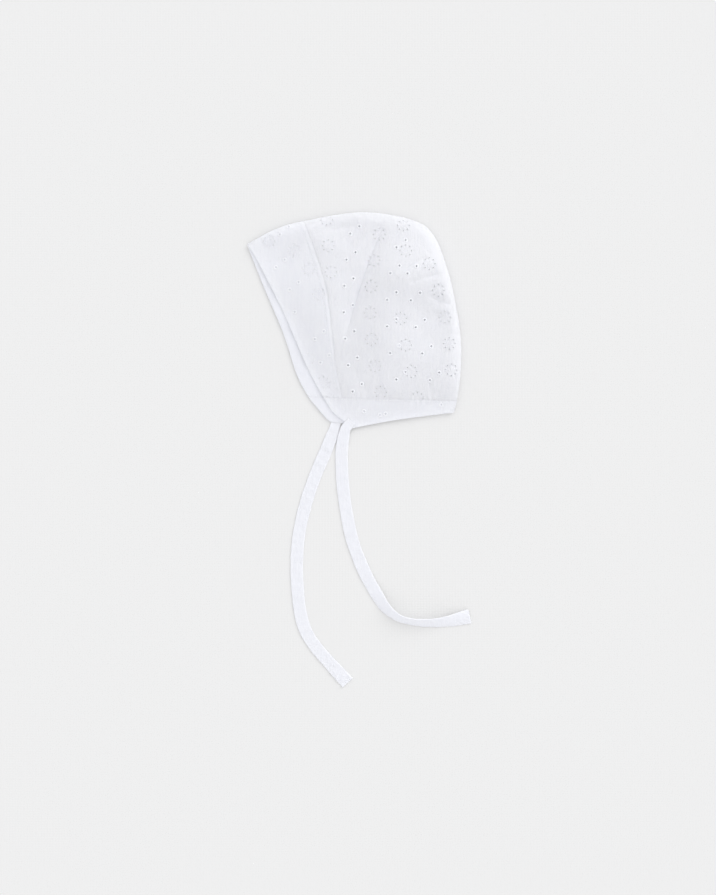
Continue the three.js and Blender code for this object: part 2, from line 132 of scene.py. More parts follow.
# Meshes: the distance between spots, and rows of spots at these distances from a line
CROWN_MESH = 1.15
LOWER_MESH = 1.6
BAND_MESH = 1.05
SEAM_ROWS = (0.5, 1.2)
SEAM_ROOM = 0.5
FOLD_ROWS = (0, -0.6, 0.6, -1.2, 1.2, -1.9, 1.9)
FOLD_ROOM = 0.4
BAND_ROWS = (0.5, 1.1, 1.8, 2.5, 2.85, 3.1, 3.35, 3.9)
NECK_ROWS = (0.5, 1.1, 1.7)
BAND_ROOM = 0.45
BORDER_ROOM = 0.6  # as shares of the distance between spots
HOLE_ROOM = 0.45
ROW_ROOM = 0.3
PIT_RINGS = (1, 0.78, 0.4)
HOLE_SIDES = 12
HOLE_INSIDE = 0.96
SAME_SPOT = 1e-5
WELD_DIGITS = 2
TRIM = 4  # points of a smooth line left out where it meets the closed edge
HEM_STEPS = 60
BOTTOM_STEPS = 20

# Least distance from an eyelet to the border: single ones and small ones
CROWN_MARGINS = (1.5, 1.0)
BAND_MARGINS = (2.4, 1.6)
NECK_MARGIN = 2.2

# Random waves of the cloth: height, seed, shortest and longest
SOFT_WAVES = (0.3, 5, 22, 45)
FINE_WAVES = (0.1, 7, 8, 16)
TABLE_WAVES = (0.12, 9, 18, 40)
GATHER_WAVES = (11, 3.4, 6.5)  # their height varies along the seam
EASED_WAVES = (0.14, 23, 5, 9)
EASED_REACH = 7
EASED_SLANT = 0.1
GATHER_HEIGHT = 0.08
GATHER_PEAKS = ((51, 13, 0.16), (5, 10, 0.07))  # X, reach and added height
GATHERS_ABOVE = 8
GATHERS_BELOW = 5

# Outlines seen from above, X as shares of DEPTH and Y as shares of HEIGHT
CLOSED_EDGE = [
    (-0.5, 0.353), (-0.371, 0.421), (-0.239, 0.459), (0.026, 0.5), (0.251, 0.47), (0.365, 0.4),
    (0.438, 0.224), (0.484, 0.013), (0.5, -0.138), (0.494, -0.271), (0.479, -0.374),
    (0.466, -0.426),
]
HEM_BACK = 10  # the closed edge's point at the neck band
BAND_SEAM = [
    (-0.239, 0.459), (-0.176, 0.288), (-0.129, 0.125), (-0.105, -0.061), (-0.082, -0.23),
    (-0.056, -0.361),
]
FACE_EDGE = {
    "upper": [(-0.5, 0.353), (-0.449, 0.272), (-0.325, 0.025), (-0.216, -0.223), (-0.145, -0.355)],
    "lower": [(-0.5, 0.353), (-0.423, 0.159), (-0.329, -0.064), (-0.268, -0.25), (-0.214, -0.355)],
}
TIE_END = {
    "upper": [(-0.145, -0.355), (-0.099, -0.425), (-0.044, -0.471), (-0.011, -0.5)],
    "lower": [(-0.214, -0.355), (-0.175, -0.403), (-0.114, -0.468), (-0.058, -0.477)],
}
NECK_EDGE = {
    "upper": [(-0.011, -0.5), (0.096, -0.479), (0.213, -0.459), (0.466, -0.426)],
    "lower": [(-0.058, -0.477), (0.096, -0.46), (0.213, -0.447), (0.466, -0.426)],
}

# Puffs and hollows of the upper side: x, y, rise as a share of PUFF, reach along X and along Y
SWELLS = {
    "crown": (0.22, 0.103, 0.57, 0.338, 0.355),
    "seam shoulder": (-0.13, 0.1, 0.06, 0.08, 0.26),
    "tie corner": (-0.08, -0.5, -0.13, 0.17, 0.155),
    "nape": (0.455, -0.465, -0.09, 0.195, 0.142),
    "seam ridge": (-0.11, 0.08, 0.05, 0.07, 0.28),
    "band top hollow": (-0.39, 0.27, -0.16, 0.1, 0.1),
    "seam top": (-0.19, 0.4, 0.14, 0.09, 0.1),
    "back shoulder": (0.28, 0.22, 0.2, 0.17, 0.11),
    "back hollow": (0.33, 0.0, -0.25, 0.14, 0.13),
    "low back": (0.16, -0.2, 0.04, 0.1, 0.14),
}

# Valleys of the upper side: from, bend, to, depth as a share of PUFF, and the reach of each wall
# as a share of DEPTH, the one on the left of the way first
FOLDS = {
    "crease": ((0.135, 0.43), (0.035, 0.2), (-0.045, -0.1), 0.15, 0.03, 0.09),
    "crease line": ((0.135, 0.43), (0.035, 0.2), (-0.045, -0.1), 0.08, 0.009, 0.013),
    "top fold": ((-0.221, 0.4), (-0.1, 0.42), (0.026, 0.433), 0.07, 0.03, 0.03),
    "cheek fold": ((-0.044, -0.138), (0, -0.25), (0.082, -0.36), 0.045, 0.04, 0.04),
    "shoulder pucker": ((0.34, 0.285), (0.27, 0.255), (0.2, 0.2), 0.07, 0.013, 0.022),
    "back pucker": ((0.423, 0.21), (0.35, 0.2), (0.25, 0.16), 0.065, 0.012, 0.02),
    "middle pucker": ((0.461, 0.061), (0.4, 0.08), (0.33, 0.108), 0.065, 0.013, 0.02),
    "nape fold": ((0.34, -0.26), (0.35, -0.31), (0.368, -0.374), 0.035, 0.024, 0.024),
}
# Folds narrow enough to need rows of spots of their own
PRESSED = ("crease line", "shoulder pucker", "back pucker", "middle pucker")

# A small fold in the strip of the lower side that shows beside the face edge
STRIP_FOLD = [(-0.259, -0.217), (-0.236, -0.25), (-0.208, -0.217)]
STRIP_FOLD_RISE = 0.35
STRIP_FOLD_REACH = 1.2

# Columns down a crown side: X at the top, middle and bottom row, Y of the top row, and rows
PAIR_COLUMNS = {
    "front": (0.001, -0.028, 0.013, 0.412, 7),
    "middle": (0.215, 0.17, 0.215, 0.345, 6),
    "back": (0.265, 0.305, 0.372, 0.222, 5),
}
CLUSTER_COLUMNS = {
    "seam": (-0.129, -0.122, -0.109, 0.46, 3),
    "front": (0.115, 0.073, 0.122, 0.391, 7),
    "middle top": (0.227, 0.23, 0.237, 0.433, 2),
    "middle": (0.213, 0.25, 0.293, 0.001, 4),
    "back": (0.345, 0.42, 0.451, 0.252, 5),
}

# Eyelets of the doubled bands, seen from above
BAND_CLUSTERS = [
    (-0.397, 0.365), (-0.281, 0.317), (-0.212, 0.232), (-0.167, 0.116), (-0.216, -0.181),
    (-0.144, -0.29),
]
BAND_PAIRS = [
    (-0.327, 0.412), (-0.346, 0.261), (-0.281, 0.156), (-0.163, -0.073), (-0.138, -0.181),
    (-0.3, 0.02),
]
NECK_EYELETS = [(0.045, -0.424), (0.119, -0.44), (0.145, -0.435), (0.404, -0.393)]

# Routes of the ties: the middle of the tie above the table, and its roll in degrees
TIE_ROUTES = {
    "left_tie": [
        (-4.6, -75.9, 3.9, 0), (-6.4, -78.3, 3.6, 0), (-8.0, -85.0, 2.4, 0),
        (-9.0, -93.0, 1.2, 0), (-9.2, -102.0, 0.66, 0), (-8.2, -120.0, 0.66, 0),
        (-5.4, -140.0, 0.66, 0), (-1.0, -160.0, 0.66, 0), (7.2, -181.0, 0.8, 2),
        (15.6, -196.5, 1.4, 12), (23.0, -207.4, 3.1, 38), (33.0, -214.6, 3.9, 54),
        (46.5, -217.4, 3.9, 54), (60.0, -217.4, 3.3, 42), (72.0, -215.6, 2.1, 22),
        (83.0, -213.0, 1.1, 6),
    ],
    "right_tie": [
        (-13.4, -73.5, 0.9, 0), (-14.0, -76.6, 0.8, 0), (-16.4, -83.5, 0.66, 0),
        (-21.0, -95.0, 0.66, 0), (-29.2, -114.6, 0.66, 0), (-35.8, -135.0, 0.66, 0),
        (-40.0, -155.0, 0.66, 0), (-41.5, -176.0, 0.66, 0), (-40.7, -195.0, 0.66, 0),
        (-38.8, -211.0, 0.66, 0), (-34.6, -224.5, 0.66, 0), (-26.8, -236.4, 0.66, 0),
        (-16.6, -248.0, 0.66, 0), (-4.8, -261.0, 0.66, 0),
    ],
}


# Lines

def placed(table):
    return np.array(table, float) * [DEPTH, HEIGHT]


def smooth(points, steps=FINE_STEPS):
    """A smooth curve through points, with an even number of steps from each to the next."""
    points = np.asarray(points, float)
    padded = np.vstack([points[:1], points, points[-1:]])
    share = (np.arange(steps) / steps)[:, None]
    spans = []
    for before, start, end, after in zip(padded, padded[1:], padded[2:], padded[3:]):
        leave = (end - before) / 2
        arrive = (after - start) / 2
        cubic = 2 * start - 2 * end + leave + arrive
        square = -3 * start + 3 * end - 2 * leave - arrive
        spans.append(cubic * share**3 + square * share**2 + leave * share + start)
    return np.vstack([*spans, points[-1:]])


def bent(start, bend, end, steps=8):
    """Points of a curve from start to end, pulled towards bend."""
    share = np.linspace(0, 1, steps + 1)[:, None]
    start, bend, end = (np.array(point, float) for point in (start, bend, end))
    return start * (1 - share) ** 2 + 2 * bend * share * (1 - share) + end * share**2


def unit(vectors):
    return vectors / np.maximum(np.linalg.norm(vectors, axis=-1, keepdims=True), 1e-12)


class Line:
    """A line through points, read by distance along it."""

    def __init__(self, points):
        self.points = np.asarray(points, float)
        self.along = np.r_[0, np.cumsum(np.linalg.norm(np.diff(self.points, axis=0), axis=1))]
        self.length = self.along[-1]
        self.headings = unit(np.gradient(self.points, axis=0))

    def at(self, distance):
        return self.read(self.points, distance)

    def heading(self, distance):
        return unit(self.read(self.headings, distance))

    def read(self, values, distance):
        return np.stack([np.interp(distance, self.along, axis) for axis in values.T], axis=-1)

    def evenly(self, step):
        count = max(2, round(self.length / step) + 1)
        return self.at(np.linspace(0, self.length, count))

    def nearest(self, spots, batch=4000):
        """Distance along the line to each spot's nearest point, and how far right of it it lies."""
        if len(spots) > batch:
            parts = [self.nearest(spots[i : i + batch]) for i in range(0, len(spots), batch)]
            return tuple(np.concatenate(part) for part in zip(*parts))
        start = self.points[:-1]
        span = np.diff(self.points, axis=0)
        offset = spots[:, None] - start[None]
        share = np.clip((offset * span).sum(2) / (span**2).sum(1), 0, 1)
        miss = offset - share[..., None] * span
        gap = np.hypot(miss[..., 0], miss[..., 1])
        best = gap.argmin(1)
        pick = np.arange(len(spots)), best
        right = miss[pick][:, 0] * span[best, 1] - miss[pick][:, 1] * span[best, 0]
        along = self.along[best] + share[pick] * np.linalg.norm(span, axis=1)[best]
        return along, np.where(right < 0, -1, 1) * gap[pick]


def lengthened(points, reach):
    """The line with a straight stretch added at both ends."""
    first = points[0] - unit(points[1] - points[0]) * reach
    last = points[-1] + unit(points[-1] - points[-2]) * reach
    return np.vstack([first, points, last])


EDGE_REACH = 14
FREE_EDGE_STEP = 3
closed_edge = Line(lengthened(smooth(placed(CLOSED_EDGE)), EDGE_REACH))
TIP = EDGE_REACH
NAPE = closed_edge.length - EDGE_REACH
band_seam = Line(smooth(placed(BAND_SEAM)))
hem_front = placed(BAND_SEAM)[-1]
hem_back = placed(CLOSED_EDGE)[HEM_BACK]
free_points = np.vstack([smooth(placed(edge["upper"])) for edge in (FACE_EDGE, TIE_END, NECK_EDGE)])
free_edge = Line(free_points[::FREE_EDGE_STEP])
strip_fold = Line(placed(STRIP_FOLD))
fold_lines = {
    name: (Line(bent(*placed([start, bend, end]))), depth * PUFF, left * DEPTH, right * DEPTH)
    for name, (start, bend, end, depth, left, right) in FOLDS.items()
}


def inward(along):
    heading = closed_edge.heading(along)
    return np.stack([heading[..., 1], -heading[..., 0]], axis=-1)


# The cloth lies in an unrolled pattern: the plan, with the cloth next to the closed edge laid out
# flat, so that the pattern reaches SPREAD past the closed edge

def edge_pattern(first, last, step):
    """Pattern spots of the closed edge between two distances along it."""
    count = max(2, round(abs(last - first) / step) + 1)
    along = np.linspace(first, last, count)
    return closed_edge.at(along) - inward(along) * SPREAD


def unrolled(spots):
    """Pattern spots of plan spots."""
    along, inside = closed_edge.nearest(spots)
    angle = np.arccos(np.clip(1 - inside / ROLL, -1, 1))
    depth = angle / (math.pi / 2) * ROLL_CLOTH - SPREAD
    near = closed_edge.at(along) + inward(along) * depth[:, None]
    return np.where((inside < ROLL)[:, None], near, spots)


def rolled(pattern):
    """Plan spots of pattern spots, how far the cloth has turned over, and its place by the edge."""
    along, inside = closed_edge.nearest(pattern)
    depth = inside + SPREAD
    angle = np.minimum(depth / ROLL_CLOTH, 1) * math.pi / 2
    near = closed_edge.at(along) + inward(along) * (ROLL * (1 - np.cos(angle)))[:, None]
    spot = np.where((depth < ROLL_CLOTH)[:, None], near, pattern)
    return spot, np.sin(angle), along, depth


def ripples(spots, seed, shortest, longest, heading=0.0, scatter=math.pi, count=9):
    """Small random waves of about -1 to 1, the same on each run."""
    draw = np.random.default_rng(seed)
    total = np.zeros(len(spots))
    for _ in range(count):
        turn = heading + draw.uniform(-scatter, scatter)
        length = draw.uniform(shortest, longest)
        phase = draw.uniform(0, 2 * math.pi)
        travel = spots[:, 0] * math.cos(turn) + spots[:, 1] * math.sin(turn)
        total += np.sin(travel * 2 * math.pi / length + phase)
    return total / math.sqrt(2 * count)


def waved(spots, height, *waves):
    return height * ripples(spots, *waves)


def bump(distance, reach):
    return np.exp(-((distance / reach) ** 2))


def valley(distance, reach):
    """A fold's walls, steepest next to its narrow bottom."""
    return np.exp(FOLD_BOTTOM - np.hypot(distance / reach, FOLD_BOTTOM))


def softened(height, reach=0.25):
    """Heights pushed up smoothly so that none is below zero."""
    return np.where(height > reach, height, reach * np.exp(np.minimum(height / reach - 1, 0)))


# Shape of the two sides

def puffed_height(spots):
    """Height of the upper side away from the closed edge."""
    height = np.full(len(spots), float(MOUTH_HEIGHT))
    for x, y, rise, reach_x, reach_y in SWELLS.values():
        across = (spots[:, 0] / DEPTH - x) / reach_x
        along = (spots[:, 1] / HEIGHT - y) / reach_y
        height += rise * PUFF * np.exp(-(across**2) - along**2)
    for line, depth, left, right in fold_lines.values():
        along, away = line.nearest(spots)
        taper = np.sin(along / line.length * math.pi) ** FOLD_TAPER
        height -= depth * taper * valley(away, np.where(away < 0, left, right))
    share = bump(free_edge.nearest(spots)[1], SETTLED)
    return height + (FREE_EDGE - height) * share


def doubled(pattern):
    """Thickness of a band, pressed thinner where both sides meet at the closed edge."""
    spot, turn, _, _ = rolled(pattern)
    gap = (puffed_height(spot) - TABLE_GAP) * turn
    return np.clip(gap * BAND_SHARE, THINNEST, DOUBLED)


def gathers(spots):
    """Small gathers of the cloth above and below the neck band's seam."""
    x, y = spots.T
    run, rise = hem_back - hem_front
    above = y - (hem_front[1] + rise * (x - hem_front[0]) / run)
    height = GATHER_HEIGHT
    for middle, reach, added in GATHER_PEAKS:
        height = height + added * bump(x - middle, reach)
    waves = ripples(spots, *GATHER_WAVES, scatter=0.3, count=7)
    return height * waves * bump(above, np.where(above > 0, GATHERS_ABOVE, GATHERS_BELOW))


def eased(along, depth):
    """Small puckers where the crown is eased into the seam of the closed edge."""
    height, *waves = EASED_WAVES
    spots = np.column_stack([along, depth * EASED_SLANT])
    puckers = height * ripples(spots, *waves, scatter=0.2, count=6)
    return puckers * bump(depth - EASED_REACH, EASED_REACH)


def cloth_base(pattern, side):
    """Outer face of the cloth, before seams and eyelets."""
    spot, turn, along, depth = rolled(pattern)
    if side == "upper":
        soft = waved(spot, *SOFT_WAVES) + waved(spot, *FINE_WAVES)
        level = puffed_height(spot) + soft + gathers(spot) + eased(along, depth)
    else:
        rise, *waves = TABLE_WAVES
        fold = STRIP_FOLD_RISE * bump(strip_fold.nearest(spot)[1], STRIP_FOLD_REACH)
        level = TABLE_GAP + rise * (1 + ripples(spot, *waves)).clip(0) + fold
    height = EDGE_HEIGHT + (level - EDGE_HEIGHT) * turn
    return np.column_stack([spot, height])


def cloth_frame(pattern, side, step=0.2):
    """Places on the cloth and its outward normals."""
    here = cloth_base(pattern, side)
    along_x = cloth_base(pattern + [step, 0], side) - here
    along_y = cloth_base(pattern + [0, step], side) - here
    normal = unit(np.cross(along_x, along_y))
    return here, normal if side == "upper" else -normal


# Flat pattern pieces

def inside_loop(loop, spots):
    inside = np.zeros(len(spots), bool)
    x, y = spots.T
    for (x0, y0), (x1, y1) in zip(loop, np.roll(loop, -1, axis=0)):
        crosses = (y0 > y) != (y1 > y)
        if y0 != y1:
            inside ^= crosses & (x < x0 + (y - y0) * (x1 - x0) / (y1 - y0))
    return inside


def circle(centre, radius, sides):
    turn = np.arange(sides) * 2 * math.pi / sides
    return centre + radius * np.column_stack([np.cos(turn), np.sin(turn)])


def cut_out(loop, spacing, holes=(), pits=(), rows=()):
    """Pattern spots and triangles inside a loop. Holes are cut out, pits get rings of spots, and
    rows are lines of spots, each with the distance that other spots keep from it."""
    border = Line(np.vstack([loop, loop[:1]]))
    low, high = loop.min(0), loop.max(0)
    rise = spacing * math.sqrt(3) / 2
    grid = []
    for k, y in enumerate(np.arange(low[1], high[1], rise)):
        xs = np.arange(low[0] + spacing / 2 * (k % 2), high[0], spacing)
        grid.append(np.column_stack([xs, np.full(len(xs), y)]))
    grid = np.vstack(grid)
    grid = grid[inside_loop(loop, grid)]
    keep = np.abs(border.nearest(grid)[1]) > spacing * BORDER_ROOM
    for points, clearance in rows:
        keep &= np.abs(Line(points).nearest(grid)[1]) > clearance
    for centre, radius in [*holes, *pits]:
        keep &= np.linalg.norm(grid - centre, axis=1) > radius + spacing * HOLE_ROOM
    spots = [loop, grid[keep]]
    edges = [(i, (i + 1) % len(loop)) for i in range(len(loop))]
    count = sum(len(part) for part in spots)
    rings = [circle(centre, radius, HOLE_SIDES) for centre, radius in holes]
    for centre, radius in pits:
        rings += [circle(centre, radius * share, HOLE_SIDES) for share in PIT_RINGS]
    for ring in rings:
        edges += [(count + i, count + (i + 1) % len(ring)) for i in range(len(ring))]
        spots.append(ring)
        count += len(ring)
    for points, _ in rows:
        line = Line(points).evenly(spacing)
        line = line[inside_loop(loop, line)]
        clear = np.abs(border.nearest(line)[1]) > spacing * ROW_ROOM
        for centre, radius in [*holes, *pits]:
            clear &= np.linalg.norm(line - centre, axis=1) > radius + spacing * ROW_ROOM
        spots.append(line[clear])
    spots = [Vector(spot) for spot in np.vstack(spots)]
    found = delaunay_2d_cdt(spots, edges, [], 0, SAME_SPOT, False)
    pattern = np.array([tuple(p) for p in found[0]])
    triangles = np.array(found[2])
    middles = pattern[triangles].mean(1)
    wanted = inside_loop(loop, middles)
    for centre, radius in holes:
        wanted &= np.linalg.norm(middles - centre, axis=1) > radius * HOLE_INSIDE
    return pattern, triangles[wanted]


def beside(points, offset):
    """The line moved to its right by an offset."""
    heading = unit(np.gradient(points, axis=0))
    return points + offset * np.column_stack([heading[:, 1], -heading[:, 0]])


def joined(*lines):
    """One loop from lines that end where the next starts."""
    return np.vstack([line[:-1] for line in lines])


# Meshes

class Shape:
    """Vertices and faces of one mesh, gathered from several parts."""

    def __init__(self):
        self.vertices = []
        self.faces = []
        self.kinds = []
        self.sharp = set()
        self.count = 0

    def add(self, vertices, faces):
        """Adds a part whose faces count its own vertices from 0."""
        self.add_faces(np.asarray(faces) + self.count)
        self.vertices.append(vertices)
        self.count += len(vertices)

    def add_faces(self, faces, kind=0):
        self.faces += faces.tolist()
        self.kinds += [kind] * len(faces)

    def build(self, name, slot, materials, replaced=()):
        mesh = bpy.data.meshes.new(name)
        mesh.from_pydata((np.vstack(self.vertices) * MM).tolist(), [], self.faces)
        for material in materials:
            mesh.materials.append(material)
        mesh.polygons.foreach_set("material_index", self.kinds)
        mesh.polygons.foreach_set("use_smooth", [True] * len(self.faces))
        mesh.update()
        if self.sharp:
            for edge in mesh.edges:
                edge.use_edge_sharp = tuple(sorted(edge.vertices)) in self.sharp
        piece = bpy.data.objects.new(name, mesh)
        bpy.context.scene.collection.objects.link(piece)
        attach(piece, "root")
        if replaced:
            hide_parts(*replaced)
        return piece


def open_edges(triangles):
    """Edges of a sheet that only one triangle has, in that triangle's direction."""
    edges = np.vstack([triangles[:, [0, 1]], triangles[:, [1, 2]], triangles[:, [2, 0]]])
    size = triangles.max() + 1
    forward = edges[:, 0] * size + edges[:, 1]
    backward = edges[:, 1] * size + edges[:, 0]
    return edges[~np.isin(forward, backward)]


RIM_ANGLES = (45, 90, 135)
RIM_FULLNESS = 0.7


def thick_cloth(middle, normals, triangles, outer_lift, inner_drop, sewn):
    """A closed cloth: an outer face, an inner face in its second material, and rounded rims along
    every open edge. Where an edge is sewn to the next piece, the rim is hidden and doesn't round
    the shading beside it."""
    shape = Shape()
    outer = middle + normals * outer_lift[:, None]
    inner = middle - normals * inner_drop[:, None]
    count = len(middle)
    edges = open_edges(triangles)
    for start, end in edges[sewn[edges].all(axis=1)].tolist():
        shape.sharp.add((min(start, end), max(start, end)))
        shape.sharp.add((min(start, end) + count, max(start, end) + count))
    away = np.zeros_like(middle)
    side = unit(np.cross(outer[edges[:, 1]] - outer[edges[:, 0]], normals[edges[:, 0]]))
    np.add.at(away, edges[:, 0], side)
    np.add.at(away, edges[:, 1], side)
    rim = np.unique(edges)
    away = unit(away[rim])
    centre = (outer[rim] + inner[rim]) / 2
    half = (outer[rim] - inner[rim]) / 2
    bulge = away * np.linalg.norm(half, axis=1)[:, None] * RIM_FULLNESS
    rows = [rim]
    vertices = [outer, inner]
    for k, angle in enumerate(RIM_ANGLES):
        turn = math.radians(angle)
        vertices.append(centre + half * math.cos(turn) + bulge * math.sin(turn))
        rows.append(2 * count + k * len(rim) + np.arange(len(rim)))
    rows.append(rim + count)
    shape.vertices = vertices
    place = np.zeros(count, int)
    place[rim] = np.arange(len(rim))
    start, end = place[edges[:, 0]], place[edges[:, 1]]
    shape.add_faces(triangles)
    shape.add_faces(triangles[:, ::-1] + count, kind=1)
    for upper, lower in zip(rows, rows[1:]):
        quads = np.column_stack([upper[end], upper[start], lower[start], lower[end]])
        shape.add_faces(quads)
    return shape


def welded(halves):
    """One sheet from two halves that share spots on the closed edge."""
    middle = np.vstack([half[0] for half in halves])
    normals = np.vstack([half[1] for half in halves])
    lifts, drops, sewn = (np.concatenate([half[k] for half in halves]) for k in (3, 4, 5))
    first = len(halves[0][0])
    triangles = np.vstack([halves[0][2], halves[1][2] + first])
    keys = np.round(middle, WELD_DIGITS)
    _, owner, which = np.unique(keys, axis=0, return_index=True, return_inverse=True)
    return middle, normals, owner[which.ravel()][triangles], lifts, drops, sewn


def half_sheet(pattern, triangles, side, lift, drop, seam_gaps):
    """What thick_cloth takes for one side. Spots without a gap to a seam are sewn."""
    middle, normals = cloth_frame(pattern, side)
    if side == "lower":
        triangles = triangles[:, ::-1]
    return middle, normals, triangles, lift, drop, np.min(seam_gaps, axis=0) < SEWN


# Eyelets

def column_spots(columns):
    spots = []
    for top, middle, bottom, first_row, rows in columns.values():
        for row in range(rows):
            share = row / (rows - 1)
            bend = 2 * middle - (top + bottom) / 2
            x = top * (1 - share) ** 2 + 2 * bend * share * (1 - share) + bottom * share**2
            spots.append((x * DEPTH, first_row * HEIGHT - row * EYELET_PITCH))
    return np.array(spots)


def as_pairs(spots):
    half = np.array(EYELET_PAIR) / 2
    return np.vstack([spots - half, spots + half])


def well_inside(loop, spots, margin):
    border = Line(np.vstack([loop, loop[:1]]))
    return spots[inside_loop(loop, spots) & (np.abs(border.nearest(spots)[1]) > margin)]


def on_cloth(pattern, lift, side):
    """Places a little above the cloth."""
    points, normals = cloth_frame(np.vstack(pattern), side)
    return points + normals * np.concatenate(lift)[:, None]


def stitched_ring(centre, eyelet, ring, height, side):
    """A satin-stitched ring round an eyelet, ribbed by its threads."""
    lap, width, share_of_height, stitches = ring
    turns = np.arange(2 * stitches) * math.pi / stitches
    ribs = np.where(np.arange(2 * stitches) % 2, RING_DIP, 1.0)
    radius = eyelet / 2 - lap
    height = height * share_of_height
    pattern, lift = [], []
    for share, rise in RING_PROFILE:
        reach = radius + width * share
        pattern.append(centre + reach * np.column_stack([np.cos(turns), np.sin(turns)]))
        lift.append(height * rise * (ribs if rise > 0 else np.ones(len(ribs))))
    faces = grid_faces(len(RING_PROFILE), len(turns), closed=True)
    return on_cloth(pattern, lift, side), faces


def grid_faces(rows, columns, closed=False):
    faces = []
    last = columns if closed else columns - 1
    for row in range(rows - 1):
        for column in range(last):
            after = (column + 1) % columns
            a, b = row * columns + column, row * columns + after
            faces.append((a, a + columns, b + columns, b))
    return faces


def petal(centre, turn, height, side):
    """A small satin-stitched leaf that points away from the middle of a cluster."""
    length = np.linspace(*PETAL_REACH, PETAL_STEPS)
    swell = np.sin(np.linspace(PETAL_TIP, math.pi - PETAL_TIP, PETAL_STEPS))
    ribs = np.where(np.arange(PETAL_STEPS) % 2, PETAL_DIP, 1.0)
    heading = np.array([math.cos(turn), math.sin(turn)])
    aside = np.array([-heading[1], heading[0]])
    pattern, lift = [], []
    for across, rise in PETAL_PROFILE:
        out = (across * PETAL_WIDTH / 2 * swell)[:, None] * aside
        pattern.append(centre + length[:, None] * heading + out)
        lift.append(height * rise * (swell * ribs if rise > 0 else np.ones(PETAL_STEPS)))
    faces = [face[::-1] for face in grid_faces(len(PETAL_PROFILE), PETAL_STEPS)]
    return on_cloth(pattern, lift, side), faces


def cluster_spots(loop, centres, margin):
    """Small eyelets of clusters that fit in a loop, and the centres with room for their petals."""
    eyelets = np.vstack([circle(centre, CLUSTER / 2, CLUSTER_COUNT) for centre in centres])
    return well_inside(loop, eyelets, margin), well_inside(loop, centres, CLUSTER * PETAL_ROOM)


def with_radii(singles, small=()):
    """Eyelets as pairs of a centre and a radius."""
    radii = [REAL_EYELET / 2] * len(singles) + [CLUSTER_EYELET / 2] * len(small)
    return list(zip([*singles, *small], radii))


def embroider(name, slot, singles, small, middles, side, height):
    """The satin stitching of a side's eyelets, as one mesh."""
    shape = Shape()
    for centre in singles:
        shape.add(*stitched_ring(centre, REAL_EYELET, SINGLE_RING, height, side))
    for centre in small:
        shape.add(*stitched_ring(centre, CLUSTER_EYELET, SMALL_RING, height, side))
    for centre in middles:
        for k in range(CLUSTER_COUNT):
            turn = (k + 0.5) * 2 * math.pi / CLUSTER_COUNT
            shape.add(*petal(centre, turn, height * PETAL_RISE, side))
    return shape.build(name, slot, [thread_cotton])


def stitch_row(name, points, pitch=2.3, length=1.6, width=0.34):
    """A row of small stitches along a pattern line of the upper side."""
    shape = Shape()
    line = Line(points)
    swell = np.array(STITCH_SWELL)
    for start in np.arange(pitch / 2, line.length - pitch / 2, pitch):
        places = np.linspace(start, start + length, len(swell))
        middle = line.at(places)
        heading = line.heading(places)
        aside = np.column_stack([-heading[:, 1], heading[:, 0]])
        pattern, lift = [], []
        for across, rise in STITCH_PROFILE:
            pattern.append(middle + (across * width / 2 * swell)[:, None] * aside)
            lift.append(rise * width * STITCH_RISE * swell)
        faces = grid_faces(len(STITCH_PROFILE), len(swell))
        shape.add(on_cloth(pattern, lift, "upper"), faces)
    shape.build(name, "band_cotton", [thread_cotton])


# Materials

WAVE_TURN = 2 * math.pi / 20  # Blender's wave texture turns once in this length at scale 1
THIN_CLOTH = 0.8  # how far light spreads inside the cloth
FLOOR_LIGHT = (0.838, 0.835, 0.812)
FLOOR_DARK = (0.828, 0.825, 0.802)
DAYLIGHT = (0.994, 0.998, 1.03)
MIX_DARK, MIX_LIGHT, MIX_RESULT = 6, 7, 2  # the mix node's sockets for colours


